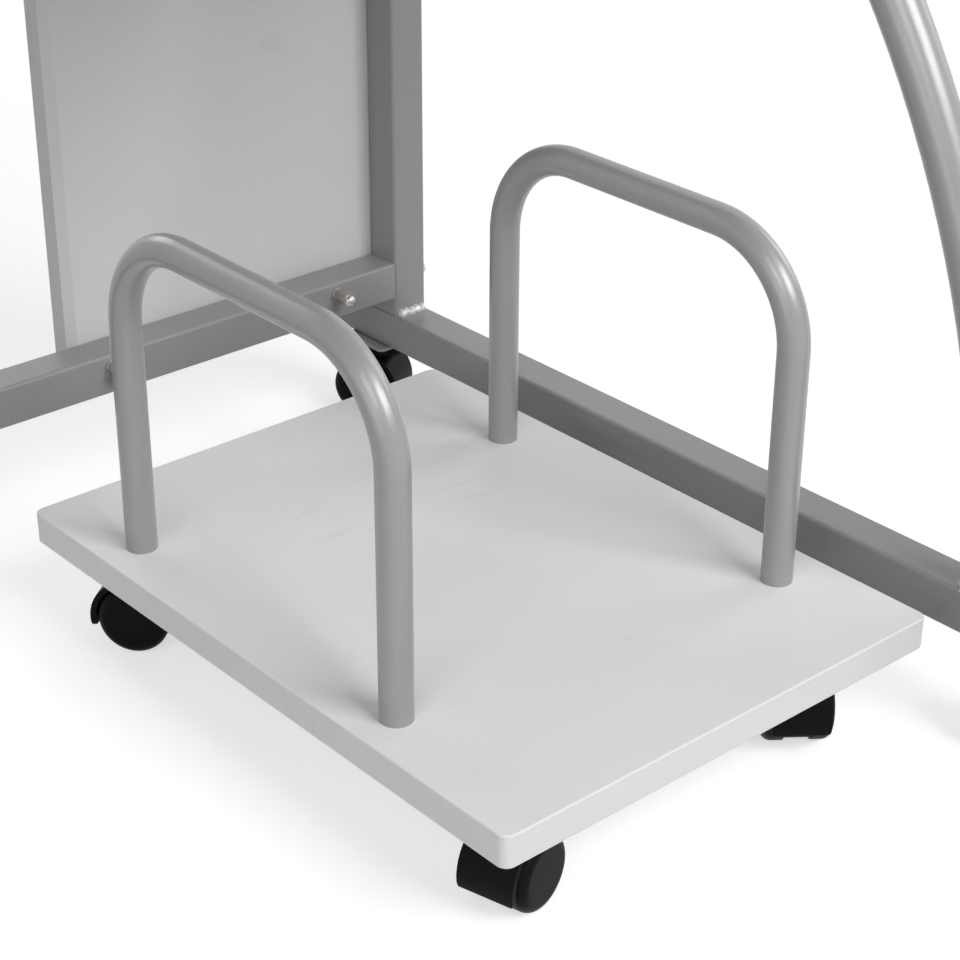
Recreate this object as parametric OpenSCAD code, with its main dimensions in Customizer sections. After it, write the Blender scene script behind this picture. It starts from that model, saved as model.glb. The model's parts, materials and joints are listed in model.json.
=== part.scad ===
// Computer desk with a keyboard tray and a wheeled trolley for a computer case.
// Millimetres, +Z up. X runs along the desk's width, the front faces -Y.
// The origin is on the floor, under the middle of the desk's bounding box.

/* [Desktop and frame] */
// Width of the desktop
desk_w = 900; // [700:10:1400]
// Depth of the desktop
desk_d = 600; // [560:5:800]
// Height of the desktop's top face above the floor
desk_h = 750; // [700:5:780]
// Thickness of the desktop, the back panel and the trolley board
board_t = 18; // [15:1:25]
// Radius of the desktop's corners
desk_corner_r = 25; // [5:1:60]
// Rounding of the boards' edges
edge_r = 1; // [0.5:0.1:4]
// Side of the square tubes
tube = 25; // [20:1:40]
// Wall of all the frame's tubes
tube_wall = 1.5; // [1:0.1:3]
// How far the side frames stand in from the desktop's ends
frame_inset = 25; // [0:1:80]
// Height of the bottom rails' undersides, and of the trolley board's, above the floor
base_z = 54; // [40:1:90]
// Gap from the posts' back face to the desktop's back edge
back_gap = 47.5; // [20:0.5:80]
// Height of the lower cross rail's underside above the floor
low_cross_z = 90.5; // [80:0.5:300]
// Gap from the upper cross rail's top face to the desktop's underside
high_cross_gap = 32; // [0:1:150]

/* [Arch legs] */
// Diameter of the arch legs' round tube
arch_tube = 25; // [20:1:40]
// Radius of the arch legs' curve, on the tube's centre line
arch_r = 560; // [400:5:800]
// Depth position of the curve's centre
arch_cy = 318; // [250:1:400]
// Height of the curve's centre
arch_cz = 53; // [0:1:120]

/* [Back panel] */
// Width of the back panel
panel_w = 251; // [150:1:800]
// Height of the back panel's lower edge above the floor
panel_z0 = 96; // [90:1:200]
// Gap from the back panel's upper edge to the desktop's underside
panel_gap = 28; // [2:1:60]
// Bevel of the back panel's free edge
panel_bevel = 5; // [1:0.5:8]
// Distance of the outer bolts from the panel's free edge
bolt_in_a = 12; // [8:1:60]
// Distance of the inner bolts from the panel's free edge
bolt_in_b = 179; // [80:1:230]

/* [Trolley] */
// Width of the trolley board
trolley_w = 288; // [200:1:400]
// Depth of the trolley board
trolley_d = 393; // [300:1:600]
// Gap from the trolley board's right edge to the desk's right bottom rail
trolley_gap = 22; // [10:1:400]
// Depth position of the trolley board's front edge
trolley_y0 = -230; // [-290:1:-100]
// Radius of the trolley board's corners
trolley_corner_r = 6; // [3:1:40]
// Diameter of the hoops' tube
hoop_tube = 17; // [12:1:25]
// Height of the hoops above the board
hoop_h = 193; // [120:1:300]
// Radius of the hoops' bends, on the centre line
hoop_bend_r = 55; // [30:1:80]
// Distance of the left hoop's middle plane from the board's left edge
hoop_x_left = 23.6; // [15:0.1:80]
// Distance of the right hoop's middle plane from the board's left edge
hoop_x_right = 256.2; // [150:0.1:380]
// Distance of the left hoop's front leg from the board's front edge
hoop_y_left = 104; // [20:1:160]
// Distance of the right hoop's front leg from the board's front edge
hoop_y_right = 75.5; // [20:0.5:160]
// Spacing of each hoop's two legs
hoop_span = 216; // [120:1:320]

/* [Casters] */
// Diameter of the caster wheels
wheel_d = 40; // [30:1:60]
// Width over both wheels of a caster
caster_w = 37; // [30:1:50]
// Distance from the swivel axis to the axle
trail = 11; // [8:1:16]
// Side of the casters' mounting plates
plate_side = 38; // [30:1:50]
// Thickness of the casters' mounting plates
plate_t = 2; // [1.5:0.5:4]
// Distance of the desk's front casters from the front ends of its bottom rails
desk_caster_in_front = 21; // [20:0.5:80]
// Distance of the desk's back casters from the back ends of its bottom rails
desk_caster_in_back = 42.5; // [20:0.5:80]
// Distance of the trolley's left casters from the board's left edge
caster_in_left = 27.5; // [24:0.5:60]
// Distance of the trolley's right casters from the board's right edge
caster_in_right = 56; // [24:1:80]
// Distance of the trolley's front casters from the board's front edge
caster_in_front = 34; // [24:1:60]
// Distance of the trolley's back casters from the board's back edge
caster_in_back = 41.5; // [24:0.5:60]

/* [Keyboard tray] */
// Gap from the tray's hangers to the desk's side frames
tray_gap = 4; // [1:0.5:60]
// Depth of the keyboard tray
tray_d = 330; // [250:5:400]
// Thickness of the keyboard tray
tray_t = 16; // [12:1:18]
// Distance from the desktop's underside down to the tray's underside
tray_drop = 100; // [72:1:112]
// Distance of the tray's front edge behind the desktop's front edge
tray_setback = 15; // [0:1:60]
// Length of the tray's runners
runner_len = 300; // [200:10:320]
// Height of the tray's runners
runner_h = 27; // [20:1:35]

/* [Hidden] */
$fn = 64;
sheet = 2;
runner_sheet = 1.2;
wheel_gap = 0.4;
running = 0.05;
frame_x = desk_w / 2 - frame_inset - tube / 2;
frame_back = desk_d / 2 - back_gap;
post_y = frame_back - tube / 2;
post_front = frame_back - tube;
rail_top = base_z + tube;
tube_r = 2;
plug_cap = 2;
rail_front = -desk_d / 2 + plug_cap;
rail_back = desk_d / 2 - plug_cap - 1;
top_z = desk_h - board_t;
top_rail_z = top_z - tube;
high_cross_z = top_z - high_cross_gap - tube;
panel_z1 = top_z - panel_gap;
tray_z = top_z - tray_drop;
top_rail_front = -240;
tube_in = tube - 2 * tube_wall;
cross_len = 2 * frame_x - tube;
cross_bolt_r = 4;
insert_len = 25;
cross_bolt_head = 13;
cross_bolt_head_t = 5;
insert_end = 3;
panel_bolt_r = 2.5;
low_bolt_up = 17;
panel_x1 = frame_x + tube / 2;
panel_x0 = panel_x1 - panel_w;
panel_y1 = frame_back + board_t;
low_bolt_z = low_cross_z + low_bolt_up;
high_bolt_z = high_cross_z + tube / 2;
washer_t = 1.2;
washer_r = 4.7;
nut_across = 8;
nut_t = 6;
cap_nut_t = 5.5;
cap_dome_r = 3.6;
bolt_end = 3;
weld_r = 3.5;
board_top = base_z + board_t;
hoop_screw_r = 3;
hoop_insert_len = 16;
hoop_wall = 1.5;
wheel_r = wheel_d / 2;
hood_web = 12.2;
fender_w = caster_w - 6;
wheel_t = (caster_w - hood_web) / 2 - wheel_gap;
fender_in = wheel_r + 1.3;
fender_out = fender_in + 3.1;
axle_r = 3;
axle_len = caster_w - 4;
pin_r = 4;
pin_z0 = 28.5;
race_gap = 0.5;
plate_z = base_z - plate_t;
hole_at = 14;
web_low = 14;
web_lap = 0.5;
fender_low = 14;
wood_screw_r = 2;
wood_screw_len = 14;
hanger_screw_in = 30;
desk_caster_y0 = rail_front + desk_caster_in_front;
desk_caster_y1 = rail_back - desk_caster_in_back;
tray_y0 = -desk_d / 2 + tray_setback;
runner_y0 = tray_y0 + 8;
runner_mid_z = tray_z + tray_t / 2;
runner_w = 13;
tray_w = cross_len - 2 * (tray_gap + sheet + runner_w);
ball_gap = 3;
ball_d = ball_gap - running;
ball_count = 6;
ball_pitch = 22;
hanger_x = tray_w / 2 + runner_w;
hanger_flange = 22;
hanger_y0 = runner_y0 + 6;
hanger_len = runner_len - 12;
hanger_z0 = runner_mid_z - runner_h / 2;

trolley_x1 = frame_x - tube / 2 - trolley_gap;
trolley_x0 = trolley_x1 - trolley_w;
trolley_y1 = trolley_y0 + trolley_d;

// Each caster's swivel axis and the way its hood faces, in degrees from +X
desk_fl = [-frame_x, desk_caster_y0, 260];
desk_fr = [frame_x, desk_caster_y0, 284];
desk_bl = [-frame_x, desk_caster_y1, 98];
desk_br = [frame_x, desk_caster_y1, 301];
trolley_fl = [trolley_x0 + caster_in_left, trolley_y0 + caster_in_front, 195];
trolley_fr = [trolley_x1 - caster_in_right, trolley_y0 + caster_in_front, 232];
trolley_bl = [trolley_x0 + caster_in_left, trolley_y1 - caster_in_back, 128];
trolley_br = [trolley_x1 - caster_in_right, trolley_y1 - caster_in_back, 75];
desk_casters = [desk_fl, desk_fr, desk_bl, desk_br];
trolley_casters = [trolley_fl, trolley_fr, trolley_bl, trolley_br];

white = [0.93, 0.93, 0.94];
silver = [0.66, 0.67, 0.69];
zinc = [0.78, 0.78, 0.8];
black = [0.06, 0.06, 0.07];
grey = [0.3, 0.3, 0.32];

// Helpers

module rod_x(r, len) {
    rotate([0, 90, 0])
        cylinder(h = len, r = r);
}

module rod_y(r, len) {
    rotate([-90, 0, 0])
        cylinder(h = len, r = r);
}

module hex_y(across, len) {
    rotate([-90, 0, 0])
        linear_extrude(len)
            polygon([
                for (i = [0:5])
                    [across / sqrt(3) * cos(60 * i), across / sqrt(3) * sin(60 * i)]
            ]);
}

module hex_x(across, len) {
    rotate([0, 0, -90])
        hex_y(across, len);
}

// A rectangle from 0 to w by 0 to h with all four corners rounded
module soft_rect(w, h, r) {
    translate([r, 0])
        square([w - 2 * r, h]);
    translate([0, r])
        square([w, h - 2 * r]);
    for (x = [r, w - r])
        for (y = [r, h - r])
            translate([x, y])
                circle(r = r);
}

// The half section of a round corner: flat on the axis, soft at the rim
module puck(radius, h, r) {
    rotate_extrude()
        intersection() {
            translate([-radius, 0])
                soft_rect(2 * radius, h, r);
            square([radius, h]);
        }
}

// A board from the origin with round corners and soft edges
module soft_board(w, d, t, corner, r) {
    translate([corner, 0, 0])
        rotate([90, 0, 90])
            linear_extrude(w - 2 * corner)
                soft_rect(d, t, r);
    translate([0, d - corner, 0])
        rotate([90, 0, 0])
            linear_extrude(d - 2 * corner)
                soft_rect(w, t, r);
    for (x = [corner, w - corner])
        for (y = [corner, d - corner])
            translate([x, y, 0])
                puck(corner, t, r);
}

module tube_section() {
    difference() {
        soft_rect(tube, tube, tube_r);
        translate([tube_wall, tube_wall])
            square([tube_in, tube_in]);
    }
}

// Square tube along Y with its lower left edge at x, z
module tube_y(x, y, z, len) {
    translate([x, y + len, z])
        rotate([90, 0, 0])
            linear_extrude(len)
                tube_section();
}

module tube_x(x, y, z, len) {
    translate([x, y, z])
        rotate([90, 0, 90])
            linear_extrude(len)
                tube_section();
}

module tube_z(x, y, z, len) {
    translate([x, y, z])
        linear_extrude(len)
            tube_section();
}

module both_sides() {
    children();
    mirror([1, 0, 0])
        children();
}

// Desk: boards

module desktop() {
    color(white)
        difference() {
            translate([-desk_w / 2, -desk_d / 2, top_z])
                soft_board(desk_w, desk_d, board_t, desk_corner_r, edge_r);
            desktop_screw_holes();
            hanger_screw_holes();
        }
}

module back_panel() {
    color(white)
        difference() {
            translate([0, 0, panel_z0])
                linear_extrude(panel_z1 - panel_z0)
                    polygon([
                        [panel_x0 + panel_bevel, frame_back],
                        [panel_x1, frame_back],
                        [panel_x1, panel_y1],
                        [panel_x0, panel_y1],
                        [panel_x0, frame_back + panel_bevel]
                    ]);
            panel_bolt_shanks(panel_bolt_r);
        }
}

// Desk: side frames

module bottom_rail() {
    tube_y(frame_x - tube / 2, rail_front, base_z, rail_back - rail_front);
}

module right_bottom_rail() {
    color(silver)
        bottom_rail();
}

module left_bottom_rail() {
    color(silver)
        mirror([1, 0, 0])
            bottom_rail();
}

module back_post() {
    difference() {
        tube_z(frame_x - tube / 2, post_front, rail_top, top_rail_z - rail_top);
        for (z = [low_cross_z, high_cross_z])
            translate([frame_x - tube, post_y, z + tube / 2])
                rod_x(cross_bolt_r + 0.2, 2 * tube);
    }
}

module right_back_post() {
    color(silver)
        back_post();
}

module left_back_post() {
    color(silver)
        mirror([1, 0, 0])
            back_post();
}

// The curved tube, cut square where it meets the rail and the post
module arch_leg() {
    intersection() {
        translate([frame_x, arch_cy, arch_cz])
            rotate([90, 0, -90])
                rotate_extrude(angle = 90, $fn = 96)
                    translate([arch_r, 0])
                        difference() {
                            circle(d = arch_tube);
                            circle(d = arch_tube - 2 * tube_wall);
                        }
        translate([frame_x - tube, -desk_d / 2, rail_top])
            cube([2 * tube, desk_d / 2 + post_front, desk_h]);
    }
}

module right_arch_leg() {
    color(silver)
        arch_leg();
}

module left_arch_leg() {
    color(silver)
        mirror([1, 0, 0])
            arch_leg();
}

module top_rail() {
    difference() {
        tube_y(frame_x - tube / 2, top_rail_front, top_rail_z, rail_back - top_rail_front);
        desktop_screw_shanks(wood_screw_r + 0.3);
    }
}

module right_top_rail() {
    color(silver)
        top_rail();
}

module left_top_rail() {
    color(silver)
        mirror([1, 0, 0])
            top_rail();
}

// Desk: cross rails and their bolts

module cross_rail(z) {
    tube_x(-cross_len / 2, post_front, z, cross_len);
}

module lower_cross_rail() {
    color(silver)
        difference() {
            cross_rail(low_cross_z);
            panel_bolt_shanks(panel_bolt_r + 0.2);
        }
}

module upper_cross_rail() {
    color(silver)
        difference() {
            cross_rail(high_cross_z);
            panel_bolt_shanks(panel_bolt_r + 0.2);
        }
}

module cross_rail_bolts() {
    color(zinc)
        both_sides()
            for (z = [low_cross_z, high_cross_z])
                translate([frame_x, post_y, z + tube / 2]) {
                    translate([-tube / 2 - insert_len + insert_end, 0, 0])
                        rod_x(cross_bolt_r, tube + insert_len - insert_end);
                    translate([tube / 2, 0, 0])
                        hex_x(cross_bolt_head, cross_bolt_head_t);
                }
}

module cross_rail_inserts() {
    color(zinc)
        both_sides()
            for (z = [low_cross_z, high_cross_z])
                translate([cross_len / 2 - insert_len, post_y, z + tube / 2])
                    difference() {
                        translate([0, -tube_in / 2, -tube_in / 2])
                            cube([insert_len, tube_in, tube_in]);
                        translate([-1, 0, 0])
                            rod_x(cross_bolt_r, insert_len + 2);
                    }
}

// Desk: end plugs and welds

module tube_plug() {
    spigot = 12;
    translate([-tube / 2, plug_cap, -tube / 2])
        rotate([90, 0, 0])
            linear_extrude(plug_cap)
                soft_rect(tube, tube, tube_r);
    difference() {
        translate([-tube_in / 2, 0, -tube_in / 2])
            cube([tube_in, plug_cap + spigot, tube_in]);
        translate([-tube_in / 2 + 2, plug_cap, -tube_in / 2 + 2])
            cube([tube_in - 4, spigot + 1, tube_in - 4]);
    }
}

module tube_end_plugs() {
    rails = [[rail_front, base_z], [top_rail_front, top_rail_z]];
    color(grey)
        both_sides()
            for (r = rails) {
                translate([frame_x, r[0] - plug_cap, r[1] + tube / 2])
                    tube_plug();
                translate([frame_x, rail_back + plug_cap, r[1] + tube / 2])
                    mirror([0, 1, 0])
                        tube_plug();
            }
}

// A quarter-round bead along X in the corner above y, z
module weld_bead(y, z, up) {
    translate([frame_x - tube / 2 + tube_r, y, z])
        intersection() {
            rod_x(weld_r, tube - 2 * tube_r);
            translate([0, -weld_r, up > 0 ? 0 : -weld_r])
                cube([tube, weld_r, weld_r]);
        }
}

module weld_beads() {
    color(silver)
        both_sides() {
            weld_bead(post_front, rail_top, 1);
            weld_bead(post_front, top_rail_z, -1);
        }
}

// Desk: panel fasteners

module at_panel_bolts() {
    for (x = [panel_x0 + bolt_in_a, panel_x0 + bolt_in_b])
        for (z = [low_bolt_z, high_bolt_z])
            translate([x, 0, z])
                children();
}

module panel_bolt_shanks(r) {
    shank_y0 = post_front - washer_t - nut_t - bolt_end;
    at_panel_bolts()
        translate([0, shank_y0, 0])
            rod_y(r, panel_y1 - shank_y0 + 0.01);
}

module panel_bolts() {
    head_t = 1.5;
    color(zinc) {
        panel_bolt_shanks(panel_bolt_r);
        at_panel_bolts()
            translate([0, panel_y1, 0])
                rod_y(7, head_t);
    }
}

module panel_washers() {
    color(zinc)
        at_panel_bolts()
            translate([0, post_front - washer_t, 0])
                difference() {
                    rod_y(washer_r, washer_t);
                    translate([0, -1, 0])
                        rod_y(panel_bolt_r, washer_t + 2);
                }
}

module panel_nuts() {
    color(zinc)
        at_panel_bolts()
            translate([0, post_front - washer_t - nut_t, 0])
                difference() {
                    hex_y(nut_across, nut_t);
                    translate([0, -1, 0])
                        rod_y(panel_bolt_r, nut_t + 2);
                }
}

// The closed lock nuts in front of the nuts, each over its bolt's end
module panel_cap_nuts() {
    color(zinc)
        at_panel_bolts()
            translate([0, post_front - washer_t - nut_t - cap_nut_t, 0])
                difference() {
                    union() {
                        hex_y(nut_across, cap_nut_t);
                        intersection() {
                            sphere(r = cap_dome_r);
                            rotate([90, 0, 0])
                                cylinder(h = 2 * cap_dome_r, r = 2 * cap_dome_r);
                        }
                    }
                    translate([0, cap_nut_t - bolt_end, 0])
                        rod_y(panel_bolt_r, bolt_end + 1);
                }
}

// Desk: desktop screws

module at_desktop_screws() {
    for (y = [top_rail_front + 30, 0, rail_back - 40])
        translate([frame_x, y, 0])
            children();
}

module desktop_screw_shanks(r) {
    at_desktop_screws()
        translate([0, 0, top_rail_z])
            cylinder(h = tube + 12, r = r);
}

module desktop_screw_holes() {
    both_sides()
        desktop_screw_shanks(wood_screw_r);
}

module desktop_screws() {
    head_t = 2.4;
    color(zinc)
        both_sides() {
            desktop_screw_shanks(wood_screw_r);
            at_desktop_screws()
                translate([0, 0, top_rail_z - head_t])
                    cylinder(h = head_t, r = 4);
        }
}

// Casters

// Moves its children from the caster's own place to a caster: c is [x, y, way the hood faces]
module at_caster(c) {
    translate([c[0], c[1], 0])
        rotate([0, 0, c[2]])
            children();
}

// Fixed plate with its riveted pin
module caster_plate(holes) {
    half = plate_side / 2;
    difference() {
        translate([-half, -half, plate_z])
            linear_extrude(plate_t)
                soft_rect(plate_side, plate_side, 4);
        if (holes)
            for (x = [-hole_at, hole_at])
                for (y = [-hole_at, hole_at])
                    translate([x, y, plate_z - 1])
                        cylinder(h = plate_t + 2, r = wood_screw_r);
    }
    translate([0, 0, pin_z0])
        cylinder(h = plate_z - pin_z0 + plate_t / 2, r = pin_r);
}

// Where the fender is: from below the axle at the front, over the top, to the upper back
module fender_sector() {
    polygon([[0, 0], [60, -fender_low], [60, 60], [-60, 60]]);
}

module fender_outline() {
    intersection() {
        difference() {
            circle(r = fender_out);
            circle(r = fender_in);
        }
        fender_sector();
    }
}

// The web between the wheels, a little inside their rims where no fender meets it
module web_outline() {
    intersection() {
        circle(r = wheel_r - 1);
        translate([-60, -web_low])
            square([120, 80]);
    }
    intersection() {
        circle(r = fender_in + web_lap);
        fender_sector();
    }
}

module hood_side_rounding(side) {
    round_r = 6;
    low = wheel_r - 8.5;
    translate([0, side * (fender_w / 2 - round_r), low + round_r])
        difference() {
            translate([0, side > 0 ? 0 : -round_r - 1, -round_r - 1])
                cube([40, round_r + 1, round_r + 1]);
            rod_x(round_r, 40);
        }
}

module caster_hood() {
    half = fender_w / 2;
    difference() {
        union() {
            translate([-trail, half, wheel_r])
                rotate([90, 0, 0])
                    linear_extrude(fender_w)
                        fender_outline();
            translate([-trail, hood_web / 2, wheel_r])
                rotate([90, 0, 0])
                    linear_extrude(hood_web)
                        web_outline();
            translate([0, 0, 24])
                cylinder(h = plate_z - race_gap - 24, r = hood_web / 2);
            translate([0, 0, wheel_d + 3])
                cylinder(h = plate_z - race_gap - wheel_d - 3, r = 13);
        }
        translate([-trail, -half, wheel_r])
            rod_y(axle_r + running, fender_w);
        translate([0, 0, pin_z0 - race_gap])
            cylinder(h = desk_h, r = pin_r + running);
        hood_side_rounding(1);
        hood_side_rounding(-1);
    }
}

// Half section of a wheel: r across, width up, the hub's open side at the bottom
module wheel_section() {
    soft = 5.5;
    hub = 7;
    rim = 3;
    face = 3;
    difference() {
        union() {
            square([wheel_r - soft, wheel_t]);
            translate([0, 1])
                square([wheel_r, wheel_t - soft - 1]);
            translate([wheel_r - soft, wheel_t - soft])
                circle(r = soft);
            square([wheel_r - 1, 2]);
        }
        translate([-1, -1])
            square([axle_r + 1, wheel_t - 1]);
        translate([hub, -1])
            square([wheel_r - rim - hub, wheel_t - face + 1]);
    }
}

module caster_wheels() {
    for (side = [0, 1])
        mirror([0, side, 0])
            translate([-trail, hood_web / 2 + wheel_gap, wheel_r])
                rotate([-90, 0, 0])
                    rotate_extrude()
                        wheel_section();
}

module caster_axle() {
    translate([-trail, -axle_len / 2, wheel_r])
        rod_y(axle_r, axle_len);
}

module desk_caster_plates() {
    color(zinc)
        for (c = desk_casters)
            translate([c[0], c[1], 0])
                caster_plate(false);
}

module trolley_caster_plates() {
    color(zinc)
        for (c = trolley_casters)
            translate([c[0], c[1], 0])
                caster_plate(true);
}

module at_plate_screws() {
    for (c = trolley_casters)
        for (x = [-hole_at, hole_at])
            for (y = [-hole_at, hole_at])
                translate([c[0] + x, c[1] + y, 0])
                    children();
}

module plate_screw_shanks() {
    at_plate_screws()
        translate([0, 0, plate_z])
            cylinder(h = wood_screw_len, r = wood_screw_r);
}

module trolley_caster_screws() {
    head_t = 1.6;
    color(zinc) {
        plate_screw_shanks();
        at_plate_screws()
            translate([0, 0, plate_z - head_t])
                cylinder(h = head_t, r = 3.4);
    }
}

// Trolley

module trolley_board() {
    color(white)
        difference() {
            translate([trolley_x0, trolley_y0, base_z])
                soft_board(trolley_w, trolley_d, board_t, trolley_corner_r, edge_r);
            plate_screw_shanks();
            hoop_screw_solids(0.2);
        }
}

module at_hoop_legs() {
    for (y = [hoop_y_left, hoop_y_left + hoop_span])
        translate([trolley_x0 + hoop_x_left, trolley_y0 + y, 0])
            children();
    for (y = [hoop_y_right, hoop_y_right + hoop_span])
        translate([trolley_x0 + hoop_x_right, trolley_y0 + y, 0])
            children();
}

module hoop_ring() {
    difference() {
        circle(d = hoop_tube);
        circle(d = hoop_tube - 2 * hoop_wall);
    }
}

// A hoop from its front leg at the origin, standing at the height z
module hoop(z) {
    leg = hoop_h - hoop_tube / 2 - hoop_bend_r;
    for (y = [0, hoop_span])
        translate([0, y, z])
            linear_extrude(leg)
                hoop_ring();
    translate([0, hoop_span - hoop_bend_r, z + leg + hoop_bend_r])
        rotate([90, 0, 0])
            linear_extrude(hoop_span - 2 * hoop_bend_r)
                hoop_ring();
    translate([0, hoop_bend_r, z + leg])
        rotate([90, 0, -90])
            rotate_extrude(angle = 90)
                translate([hoop_bend_r, 0])
                    hoop_ring();
    translate([0, hoop_span - hoop_bend_r, z + leg])
        rotate([90, 0, 90])
            rotate_extrude(angle = 90)
                translate([hoop_bend_r, 0])
                    hoop_ring();
}

module left_hoop() {
    color(silver)
        translate([trolley_x0 + hoop_x_left, trolley_y0 + hoop_y_left, 0])
            hoop(board_top);
}

module right_hoop() {
    color(silver)
        translate([trolley_x0 + hoop_x_right, trolley_y0 + hoop_y_right, 0])
            hoop(board_top);
}

module hoop_inserts() {
    color(zinc)
        at_hoop_legs()
            translate([0, 0, board_top])
                difference() {
                    cylinder(h = hoop_insert_len, d = hoop_tube - 2 * hoop_wall);
                    translate([0, 0, -1])
                        cylinder(h = hoop_insert_len + 2, r = hoop_screw_r);
                }
}

// The screws, sunk in the board's underside, with an allowance for their holes
module hoop_screw_solids(extra) {
    head_t = 4;
    at_hoop_legs() {
        translate([0, 0, base_z])
            cylinder(h = board_t + hoop_insert_len - 4, r = hoop_screw_r + extra);
        translate([0, 0, base_z])
            cylinder(h = head_t, r = 5.5 + extra);
    }
}

module hoop_screws() {
    color(zinc)
        hoop_screw_solids(0);
}

// Keyboard tray

module keyboard_tray() {
    color(white)
        difference() {
            translate([-tray_w / 2, tray_y0, tray_z])
                soft_board(tray_w, tray_d, tray_t, 12, edge_r);
            tray_screw_shanks();
        }
}

module at_tray_screws() {
    for (y = [runner_y0 + 40, runner_y0 + runner_len - 40])
        translate([tray_w / 2, y, runner_mid_z])
            children();
}

module tray_screw_shanks() {
    both_sides()
        at_tray_screws()
            translate([-14, 0, 0])
                rod_x(wood_screw_r, 14 + runner_sheet);
}

module tray_screws() {
    head_t = 1.5;
    color(zinc) {
        tray_screw_shanks();
        both_sides()
            at_tray_screws()
                translate([runner_sheet, 0, 0])
                    rod_x(3.4, head_t);
    }
}

// A runner's channel along Y: back at x = 0, lips toward +X
module channel(h, reach) {
    translate([0, runner_y0, runner_mid_z - h / 2])
        cube([runner_sheet, runner_len, h]);
    for (z = [runner_mid_z - h / 2, runner_mid_z + h / 2 - runner_sheet])
        translate([0, runner_y0, z])
            cube([reach, runner_len, runner_sheet]);
}

module tray_inner_runners() {
    color(zinc)
        difference() {
            both_sides()
                translate([tray_w / 2, 0, 0])
                    channel(runner_h - 2 * (runner_sheet + ball_gap), 9);
            tray_screw_shanks();
        }
}

module tray_outer_runners() {
    color(zinc)
        both_sides()
            translate([hanger_x, 0, 0])
                mirror([1, 0, 0])
                    channel(runner_h, 10);
}

// The balls lie against the outer runner's lips, a running gap from the inner runner
module tray_runner_balls() {
    reach = runner_h / 2 - runner_sheet - ball_d / 2;
    color(zinc)
        both_sides()
            for (i = [0:ball_count - 1])
                for (z = [-reach, reach])
                    translate([hanger_x - 7, runner_y0 + 15 + i * ball_pitch, runner_mid_z + z])
                        sphere(d = ball_d, $fn = 24);
}

module tray_hangers() {
    color(silver)
        difference() {
            both_sides() {
                translate([hanger_x, hanger_y0, hanger_z0])
                    cube([sheet, hanger_len, top_z - hanger_z0]);
                translate([hanger_x + sheet - hanger_flange, hanger_y0, top_z - sheet])
                    cube([hanger_flange, hanger_len, sheet]);
            }
            hanger_screw_holes();
        }
}

module at_hanger_screws() {
    for (y = [hanger_y0 + hanger_screw_in, hanger_y0 + hanger_len - hanger_screw_in])
        translate([hanger_x - hanger_flange / 2, y, 0])
            children();
}

module hanger_screw_holes() {
    both_sides()
        at_hanger_screws()
            translate([0, 0, top_z - sheet])
                cylinder(h = wood_screw_len, r = wood_screw_r);
}

module hanger_screws() {
    head_t = 2.4;
    color(zinc) {
        hanger_screw_holes();
        both_sides()
            at_hanger_screws()
                translate([0, 0, top_z - sheet - head_t])
                    cylinder(h = head_t, r = 4);
    }
}

// The eight casters' own pieces

module desk_front_left_hood() {
    color(black)
        at_caster(desk_fl)
            caster_hood();
}

module desk_front_left_wheels() {
    color(black)
        at_caster(desk_fl)
            caster_wheels();
}

module desk_front_left_axle() {
    color(zinc)
        at_caster(desk_fl)
            caster_axle();
}

module desk_front_right_hood() {
    color(black)
        at_caster(desk_fr)
            caster_hood();
}

module desk_front_right_wheels() {
    color(black)
        at_caster(desk_fr)
            caster_wheels();
}

module desk_front_right_axle() {
    color(zinc)
        at_caster(desk_fr)
            caster_axle();
}

module desk_back_left_hood() {
    color(black)
        at_caster(desk_bl)
            caster_hood();
}

module desk_back_left_wheels() {
    color(black)
        at_caster(desk_bl)
            caster_wheels();
}

module desk_back_left_axle() {
    color(zinc)
        at_caster(desk_bl)
            caster_axle();
}

module desk_back_right_hood() {
    color(black)
        at_caster(desk_br)
            caster_hood();
}

module desk_back_right_wheels() {
    color(black)
        at_caster(desk_br)
            caster_wheels();
}

module desk_back_right_axle() {
    color(zinc)
        at_caster(desk_br)
            caster_axle();
}

module trolley_front_left_hood() {
    color(black)
        at_caster(trolley_fl)
            caster_hood();
}

module trolley_front_left_wheels() {
    color(black)
        at_caster(trolley_fl)
            caster_wheels();
}

module trolley_front_left_axle() {
    color(zinc)
        at_caster(trolley_fl)
            caster_axle();
}

module trolley_front_right_hood() {
    color(black)
        at_caster(trolley_fr)
            caster_hood();
}

module trolley_front_right_wheels() {
    color(black)
        at_caster(trolley_fr)
            caster_wheels();
}

module trolley_front_right_axle() {
    color(zinc)
        at_caster(trolley_fr)
            caster_axle();
}

module trolley_back_left_hood() {
    color(black)
        at_caster(trolley_bl)
            caster_hood();
}

module trolley_back_left_wheels() {
    color(black)
        at_caster(trolley_bl)
            caster_wheels();
}

module trolley_back_left_axle() {
    color(zinc)
        at_caster(trolley_bl)
            caster_axle();
}

module trolley_back_right_hood() {
    color(black)
        at_caster(trolley_br)
            caster_hood();
}

module trolley_back_right_wheels() {
    color(black)
        at_caster(trolley_br)
            caster_wheels();
}

module trolley_back_right_axle() {
    color(zinc)
        at_caster(trolley_br)
            caster_axle();
}

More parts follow.
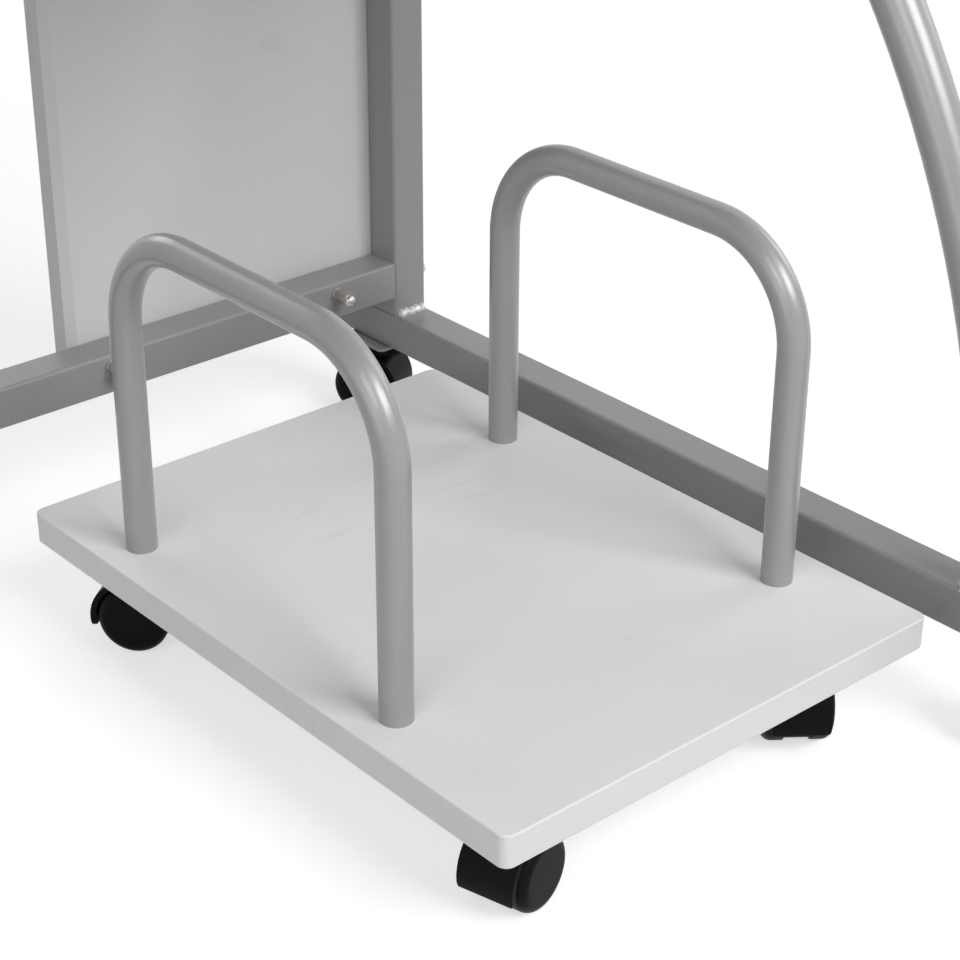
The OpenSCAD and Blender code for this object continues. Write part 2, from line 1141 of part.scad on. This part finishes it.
desktop();
back_panel();
right_bottom_rail();
left_bottom_rail();
right_back_post();
left_back_post();
right_arch_leg();
left_arch_leg();
right_top_rail();
left_top_rail();
lower_cross_rail();
upper_cross_rail();
tube_end_plugs();
weld_beads();
cross_rail_bolts();
cross_rail_inserts();
panel_bolts();
panel_washers();
panel_nuts();
panel_cap_nuts();
desktop_screws();
desk_caster_plates();
tray_hangers();
hanger_screws();
tray_outer_runners();
tray_runner_balls();
keyboard_tray();
tray_inner_runners();
tray_screws();
trolley_board();
left_hoop();
right_hoop();
hoop_inserts();
hoop_screws();
trolley_caster_plates();
trolley_caster_screws();
desk_front_left_hood();
desk_front_left_wheels();
desk_front_left_axle();
desk_front_right_hood();
desk_front_right_wheels();
desk_front_right_axle();
desk_back_left_hood();
desk_back_left_wheels();
desk_back_left_axle();
desk_back_right_hood();
desk_back_right_wheels();
desk_back_right_axle();
trolley_front_left_hood();
trolley_front_left_wheels();
trolley_front_left_axle();
trolley_front_right_hood();
trolley_front_right_wheels();
trolley_front_right_axle();
trolley_back_left_hood();
trolley_back_left_wheels();
trolley_back_left_axle();
trolley_back_right_hood();
trolley_back_right_wheels();
trolley_back_right_axle();
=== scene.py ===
"""Looks of the computer desk: materials, small visual pieces, soft studio light and the photo's camera."""
import json
import math
import random

import bpy
from mathutils import Matrix, Vector

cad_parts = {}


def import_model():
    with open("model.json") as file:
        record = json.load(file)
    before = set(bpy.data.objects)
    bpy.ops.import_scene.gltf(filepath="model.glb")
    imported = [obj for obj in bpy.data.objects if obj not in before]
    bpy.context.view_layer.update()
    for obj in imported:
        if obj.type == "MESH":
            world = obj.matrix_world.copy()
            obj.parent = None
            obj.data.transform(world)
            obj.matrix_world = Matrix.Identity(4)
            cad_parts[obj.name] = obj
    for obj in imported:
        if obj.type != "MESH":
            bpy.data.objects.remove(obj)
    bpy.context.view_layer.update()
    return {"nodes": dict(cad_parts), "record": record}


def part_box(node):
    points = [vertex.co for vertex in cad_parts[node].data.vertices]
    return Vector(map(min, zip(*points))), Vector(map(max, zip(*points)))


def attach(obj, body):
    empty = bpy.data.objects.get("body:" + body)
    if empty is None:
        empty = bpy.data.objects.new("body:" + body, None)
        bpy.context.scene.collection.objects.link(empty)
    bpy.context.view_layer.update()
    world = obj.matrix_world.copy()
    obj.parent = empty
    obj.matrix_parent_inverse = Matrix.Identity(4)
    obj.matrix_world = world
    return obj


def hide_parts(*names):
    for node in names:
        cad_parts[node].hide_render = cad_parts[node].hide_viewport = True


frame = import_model()
nodes = frame["nodes"]

IMAGE = 960
SENSOR = 36.0
FLOOR_HALF = 12.0
FLOOR_GREY = (0.6, 0.6, 0.6, 1)
FLOOR_GLOW = 0.62
GLOW_NEAR, GLOW_FAR = 1.6, 4.5
WORLD_LIGHT = 0.02
WHITE = (1, 1, 1, 1)
TARGET = (0.25, 0.0, 0.15)
SEAM_R = 0.0043
SEAM_SIDES = 12
SEAM_PITCH = 0.0042
SEAM_STEP = 0.0005
SEAM_END = 0.0014
SEAM_WEAVE = 0.13
SEAM_RIPPLE = 0.26
SEAM_CHANCE = 0.05
SCUFF_TONE = (0.955, 0.955, 0.96)

# Node graph helpers


def new_material(name):
    mat = bpy.data.materials.new(name)
    mat.use_nodes = True
    mat.node_tree.nodes.clear()
    return mat, mat.node_tree


def add(tree, kind, **values):
    """A node with its inputs set by name, and its own properties set by lower-case name."""
    node = tree.nodes.new("ShaderNode" + kind)
    for key, value in values.items():
        if key in node.inputs:
            node.inputs[key].default_value = value
        else:
            setattr(node, key, value)
    return node


def wire(tree, a, out, b, into):
    tree.links.new(a.outputs[out], b.inputs[into])


def noise(tree, coords, scale, detail=2.0, rough=0.5):
    node = add(tree, "TexNoise", Scale=scale, Detail=detail, Roughness=rough)
    wire(tree, coords, "Object", node, "Vector")
    return node


def ramp(tree, source, out, stops):
    """A colour ramp over a node's output: stops are (position, grey or rgb)."""
    node = add(tree, "ValToRGB")
    wire(tree, source, out, node, "Fac")
    band = node.color_ramp
    while len(band.elements) < len(stops):
        band.elements.new(0.5)
    for element, (position, colour) in zip(band.elements, stops):
        element.position = position
        rgb = colour if isinstance(colour, tuple) else (colour, colour, colour)
        element.color = (*rgb, 1.0)
    return node


def bump(tree, source, out, strength, distance):
    node = add(tree, "Bump", Strength=strength, Distance=distance)
    wire(tree, source, out, node, "Height")
    return node


def coat(tree, tint, gloss, relief, **values):
    """The material's surface, with its colour, roughness and relief from other nodes."""
    body = add(tree, "BsdfPrincipled", **values)
    wire(tree, tint, "Color", body, "Base Color")
    wire(tree, gloss, "Color", body, "Roughness")
    wire(tree, relief, "Normal", body, "Normal")
    output = add(tree, "OutputMaterial")
    wire(tree, body, "BSDF", output, "Surface")


# Materials


def scuffs(tree, coords):
    """Short faint marks of use: thin streaks of noise, let through only in a few patches."""
    stretch = add(tree, "Mapping", Scale=(16.0, 90.0, 16.0), Rotation=(0.0, 0.0, 0.5))
    wire(tree, coords, "Object", stretch, "Vector")
    streak = add(tree, "TexNoise", Scale=1.0, Detail=3.0, Roughness=0.6)
    wire(tree, stretch, "Vector", streak, "Vector")
    patch = noise(tree, coords, 11.0, 1.0, 0.4)
    where = ramp(tree, patch, "Fac", [(0.58, 0.0), (0.64, 1.0)])
    lines = ramp(tree, streak, "Fac", [(0.60, 0.0), (0.66, 1.0)])
    both = add(tree, "Math", operation="MULTIPLY")
    wire(tree, where, "Color", both, 0)
    wire(tree, lines, "Color", both, 1)
    return ramp(tree, both, "Value", [(0.0, 1.0), (1.0, SCUFF_TONE)])


def board_material(name, low, high):
    """White coated board: a smooth satin coat with a very fine eggshell and faint clouding."""
    mat, tree = new_material(name)
    coords = add(tree, "TexCoord")
    cloud = noise(tree, coords, 9.0, 4.0, 0.55)
    tint = ramp(tree, cloud, "Fac", [(0.3, low), (0.7, high)])
    worn = add(tree, "MixRGB", blend_type="MULTIPLY", Fac=1.0)
    wire(tree, tint, "Color", worn, "Color1")
    wire(tree, scuffs(tree, coords), "Color", worn, "Color2")
    skin = noise(tree, coords, 900.0, 2.0, 0.6)
    gloss = ramp(tree, cloud, "Fac", [(0.25, 0.42), (0.75, 0.52)])
    relief = bump(tree, skin, "Fac", 0.12, 0.0002)
    coat(tree, worn, gloss, relief, **{"Specular IOR Level": 0.4})
    return mat


def silver_material(name, low, high, metal, level, gloss_low, gloss_high):
    """Silver-grey powder coat: fine flake, satin gloss and a light orange peel."""
    mat, tree = new_material(name)
    coords = add(tree, "TexCoord")
    flake = noise(tree, coords, 2600.0, 2.0, 0.7)
    cloud = noise(tree, coords, 14.0, 3.0, 0.5)
    tint = ramp(tree, flake, "Fac", [(0.25, low), (0.75, high)])
    gloss = ramp(tree, cloud, "Fac", [(0.3, gloss_low), (0.7, gloss_high)])
    peel = noise(tree, coords, 420.0, 2.0, 0.5)
    relief = bump(tree, peel, "Fac", 0.10, 0.0003)
    coat(tree, tint, gloss, relief, Metallic=metal, **{"Specular IOR Level": level})
    return mat


def weld_material_with_painted_glints():
    """The coat over a weld: thin and glossy over the puddles, its tint painted lighter than the tube's coat with
    light spots as painted highlights.
    """
    mat, tree = new_material("silver_weld_painted_glints")
    coords = add(tree, "TexCoord")
    relief_and_glint_spots = noise(tree, coords, 300.0, 3.0, 0.6)
    # The light tint and its light spots are painted highlights; the same spots also give the bead's bump and
    # gloss.
    tint = ramp(tree, relief_and_glint_spots, "Fac", [(0.35, (0.42, 0.423, 0.43)), (0.6, (0.74, 0.743, 0.75))])
    gloss = ramp(tree, relief_and_glint_spots, "Fac", [(0.3, 0.38), (0.7, 0.29)])
    relief = bump(tree, relief_and_glint_spots, "Fac", 0.5, 0.0004)
    coat(tree, tint, gloss, relief, Metallic=0.25, **{"Specular IOR Level": 0.6})
    return mat


def zinc_material():
    """Bright zinc plate with a faint brushed grain."""
    mat, tree = new_material("zinc_steel")
    coords = add(tree, "TexCoord")
    grain = noise(tree, coords, 2200.0, 2.0, 0.6)
    tint = ramp(tree, grain, "Fac", [(0.3, (0.44, 0.42, 0.385)), (0.7, (0.52, 0.50, 0.46))])
    gloss = ramp(tree, grain, "Fac", [(0.3, 0.29), (0.7, 0.38)])
    relief = bump(tree, grain, "Fac", 0.05, 0.0001)
    coat(tree, tint, gloss, relief, Metallic=1.0)
    return mat


def plastic_material(name, low, high, rough):
    """Moulded plastic with a fine spark-eroded grain and a little dust in its tone."""
    mat, tree = new_material(name)
    coords = add(tree, "TexCoord")
    grain = noise(tree, coords, 1500.0, 2.0, 0.6)
    dust = noise(tree, coords, 35.0, 4.0, 0.6)
    tint = ramp(tree, dust, "Fac", [(0.3, low), (0.75, high)])
    gloss = ramp(tree, dust, "Fac", [(0.3, rough - 0.05), (0.7, rough + 0.06)])
    relief = bump(tree, grain, "Fac", 0.2, 0.0002)
    coat(tree, tint, gloss, relief, **{"Specular IOR Level": 0.06})
    return mat


materials = {
    "white_board": board_material("white_board", (0.79, 0.793, 0.81), (0.83, 0.832, 0.845)),
    # The back panel's copy of the white board is painted darker: painted shade for the light it loses under the
    # desktop.
    "white_panel_painted_shade": board_material("white_panel_painted_shade", (0.70, 0.702, 0.716), (0.735, 0.737, 0.75)),
    "silver_tube": silver_material("silver_tube", (0.276, 0.277, 0.283), (0.338, 0.339, 0.348),
                                   metal=0.06, level=0.38, gloss_low=0.31, gloss_high=0.36),
    # A lighter, glossier copy of the silver coat for the round tubes: the lighter tint is painted light that the
    # round tubes catch, and the higher gloss is their finish.
    "silver_round_painted_light": silver_material("silver_round_painted_light", (0.31, 0.311, 0.319), (0.38, 0.381, 0.391),
                                    metal=0.16, level=0.55, gloss_low=0.285, gloss_high=0.32),
    "silver_weld_painted_glints": weld_material_with_painted_glints(),
    "zinc_steel": zinc_material(),
    "black_plastic": plastic_material("black_plastic", (0.004, 0.004, 0.0045), (0.008, 0.008, 0.009), rough=0.42),
    "grey_plastic": plastic_material("grey_plastic", (0.10, 0.10, 0.105), (0.13, 0.13, 0.135), rough=0.5),
}


def paint(obj, mat):
    if not obj.material_slots:
        obj.data.materials.append(mat)
    for place in obj.material_slots:
        place.material = mat


for sub in frame["record"]["subparts"]:
    paint(nodes[sub["node"]], materials[sub["material_slot"]])
# The hoops and arch legs get the lighter copy of the coat: painted light on the round tubes.
for name in ("left_hoop", "right_hoop", "left_arch_leg", "right_arch_leg"):
    paint(nodes[name], materials["silver_round_painted_light"])
paint(nodes["desk_caster_plates"], materials["silver_tube"])
# The back panel gets the darker copy of the board: painted shade.
paint(nodes["back_panel"], materials["white_panel_painted_shade"])

# Weld seams


def seam_rings(path, up, radius):
    """Rings of points along a path, swollen and wandering as a hand-laid bead of puddles."""
    rings = []
    lengths = [(b - a).length for a, b in zip(path, path[1:])]
    total = sum(lengths)
    count = int(total / SEAM_STEP)
    for i in range(count + 1):
        run = total * i / count
        rest, k = run, 0
        while k < len(lengths) - 1 and rest > lengths[k]:
            rest -= lengths[k]
            k += 1
        place = path[k].lerp(path[k + 1], rest / lengths[k])
        ahead = (path[k + 1] - path[k]).normalized()
        side = ahead.cross(up).normalized()
        puddle = abs(math.sin(math.pi * run / SEAM_PITCH))
        end = min(1.0, min(run, total - run) / SEAM_END)
        swell = 1 - SEAM_RIPPLE + SEAM_RIPPLE * puddle + random.uniform(-SEAM_CHANCE, SEAM_CHANCE)
        size = radius * math.sqrt(1 - (1 - end) ** 2 * 0.96) * swell
        weave = SEAM_WEAVE * radius * math.sin(math.pi * run / SEAM_PITCH + 0.8)
        centre = place + side * weave
        rings.append([centre + size * (math.cos(a) * side + math.sin(a) * up)
                      for a in (2 * math.pi * j / SEAM_SIDES for j in range(SEAM_SIDES))])
    return rings


def seam_mesh(paths, radius):
    verts, faces = [], []
    for path, up in paths:
        for left in (1, -1):
            rings = seam_rings([Vector((left * p.x, p.y, p.z)) for p in path], up, radius)
            first = len(verts)
            for ring in rings:
                verts.extend(ring)
            for i in range(len(rings) - 1):
                for j in range(SEAM_SIDES):
                    a, b = first + i * SEAM_SIDES + j, first + i * SEAM_SIDES + (j + 1) % SEAM_SIDES
                    faces.append((a, b, b + SEAM_SIDES, a + SEAM_SIDES))
            faces.append(tuple(first + j for j in reversed(range(SEAM_SIDES))))
            last = first + (len(rings) - 1) * SEAM_SIDES
            faces.append(tuple(last + j for j in range(SEAM_SIDES)))
    return verts, faces


def weld_seams():
    """Beads where post and arch meet the bottom rail and where they meet at the top."""
    post_low, post_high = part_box("right_back_post")
    leg_low, leg_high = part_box("right_arch_leg")
    rail_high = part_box("right_bottom_rail")[1]
    up, ahead = Vector((0, 0, 1)), Vector((0, -1, 0))
    middle = (post_low[0] + post_high[0]) / 2
    half = (post_high[0] - post_low[0]) / 2 - 0.002
    front, foot, top = post_low[1], rail_high[2], post_high[2]
    tube = (leg_high[0] - leg_low[0]) / 2
    leg_y, leg_top = leg_low[1] + tube, leg_high[2] - tube
    paths = []
    for z in (foot, top):
        paths.append(([Vector((middle - half, front, z)), Vector((middle + half, front, z))], up))
    for start in (math.radians(35), math.radians(215)):
        arc = [start + math.radians(110) * i / 24 for i in range(25)]
        around = [(middle + tube * math.cos(a), tube * math.sin(a)) for a in arc]
        paths.append(([Vector((x, leg_y + turn, foot)) for x, turn in around], up))
        paths.append(([Vector((x, front, leg_top + turn)) for x, turn in around], ahead))
    verts, faces = seam_mesh(paths, SEAM_R)
    mesh = bpy.data.meshes.new("weld_seams")
    mesh.from_pydata([tuple(v) for v in verts], [], faces)
    mesh.validate()
    mesh.polygons.foreach_set("use_smooth", [True] * len(mesh.polygons))
    obj = bpy.data.objects.new("weld_seams", mesh)
    bpy.context.collection.objects.link(obj)
    obj.data.materials.append(materials["silver_weld_painted_glints"])
    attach(obj, "desk")
    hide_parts("weld_beads")


random.seed(7)
weld_seams()

# Floor, light and camera


def floor():
    """A pale floor that the camera sees as white, apart from the object's soft shadow.

    Its glow rises with the distance, where the lamps no longer reach it."""
    mesh = bpy.data.meshes.new("floor")
    corners = [(x * FLOOR_HALF, y * FLOOR_HALF, 0) for x, y in ((-1, -1), (1, -1), (1, 1), (-1, 1))]
    mesh.from_pydata(corners, [], [(0, 1, 2, 3)])
    obj = bpy.data.objects.new("floor", mesh)
    bpy.context.collection.objects.link(obj)
    mat, tree = new_material("floor_white")
    seen = camera_share(tree)
    glow = add(tree, "Emission", Color=WHITE)
    scaled = add(tree, "Math", operation="MULTIPLY")
    wire(tree, seen, "Value", scaled, 0)
    coords = add(tree, "TexCoord")
    away = add(tree, "VectorMath", operation="LENGTH")
    wire(tree, coords, "Object", away, 0)
    rise = add(tree, "MapRange", **{"From Min": GLOW_NEAR, "From Max": GLOW_FAR,
                                    "To Min": FLOOR_GLOW, "To Max": 1.0})
    wire(tree, away, "Value", rise, "Value")
    wire(tree, rise, "Result", scaled, 1)
    wire(tree, scaled, "Value", glow, "Strength")
    matt = add(tree, "BsdfDiffuse", Color=FLOOR_GREY)
    total = add(tree, "AddShader")
    wire(tree, glow, "Emission", total, 0)
    wire(tree, matt, "BSDF", total, 1)
    output = add(tree, "OutputMaterial")
    wire(tree, total, "Shader", output, "Surface")
    obj.data.materials.append(mat)


def camera_share(tree):
    """1 for rays from the camera, in reflections and through glass, else 0."""
    path = add(tree, "LightPath")
    first = add(tree, "Math", operation="MAXIMUM")
    second = add(tree, "Math", operation="MAXIMUM")
    wire(tree, path, "Is Camera Ray", first, 0)
    wire(tree, path, "Is Glossy Ray", first, 1)
    wire(tree, first, "Value", second, 0)
    wire(tree, path, "Is Transmission Ray", second, 1)
    return second


def world():
    """White where the camera looks, and an even soft light elsewhere."""
    scene_world = bpy.data.worlds.new("studio")
    bpy.context.scene.world = scene_world
    scene_world.use_nodes = True
    tree = scene_world.node_tree
    tree.nodes.clear()
    strength = add(tree, "MapRange", **{"To Min": WORLD_LIGHT, "To Max": 1.0})
    wire(tree, camera_share(tree), "Value", strength, "Value")
    back = add(tree, "Background", Color=WHITE)
    wire(tree, strength, "Result", back, "Strength")
    output = add(tree, "OutputWorld")
    wire(tree, back, "Background", output, "Surface")


def lamp(name, place, aim, size, watts):
    data = bpy.data.lights.new(name, "AREA")
    data.shape = "RECTANGLE"
    data.size, data.size_y = size
    data.energy = watts
    obj = bpy.data.objects.new(name, data)
    bpy.context.collection.objects.link(obj)
    obj.location = place
    obj.rotation_euler = (Vector(aim) - Vector(place)).to_track_quat("-Z", "Y").to_euler()


floor()
world()
lamp("key", (0.8, -4.2, 3.7), TARGET, (3.2, 2.2), 202)
lamp("left_low", (-4.5, -0.8, 0.9), TARGET, (3.0, 1.2), 24)
lamp("left_high", (-3.2, -2.2, 3.0), TARGET, (2.6, 2.0), 56)
lamp("top", (0.0, 0.2, 3.0), (0, 0, 0), (3.0, 3.0), 15)
lamp("right", (4.0, -0.5, 2.0), TARGET, (2.0, 2.0), 34)
lamp("back", (0.6, 4.0, 2.2), TARGET, (2.4, 1.6), 32)


def camera():
    """The photo's viewpoint, from a fit of its straight edges: the focal length is in pixels."""
    focal = 2242.9
    azimuth, elevation, roll = (math.radians(a) for a in (41.097, 27.837, -0.273))
    place = Vector((-0.4371, -0.8163, 0.6651))
    ahead = Vector((math.sin(azimuth) * math.cos(elevation), math.cos(azimuth) * math.cos(elevation),
                    -math.sin(elevation)))
    level = Vector((math.cos(azimuth), -math.sin(azimuth), 0.0))
    down = ahead.cross(level)
    right = math.cos(roll) * level + math.sin(roll) * down
    up = math.sin(roll) * level - math.cos(roll) * down
    data = bpy.data.cameras.new("camera")
    data.sensor_width = SENSOR
    data.lens = focal / IMAGE * SENSOR
    data.clip_start = 0.01
    data.clip_end = 60.0
    obj = bpy.data.objects.new("camera", data)
    bpy.context.collection.objects.link(obj)
    turn = Matrix((right, up, -ahead)).transposed().to_4x4()
    obj.matrix_world = Matrix.Translation(place) @ turn
    bpy.context.scene.camera = obj


camera()
bpy.context.scene.view_settings.view_transform = "Standard"
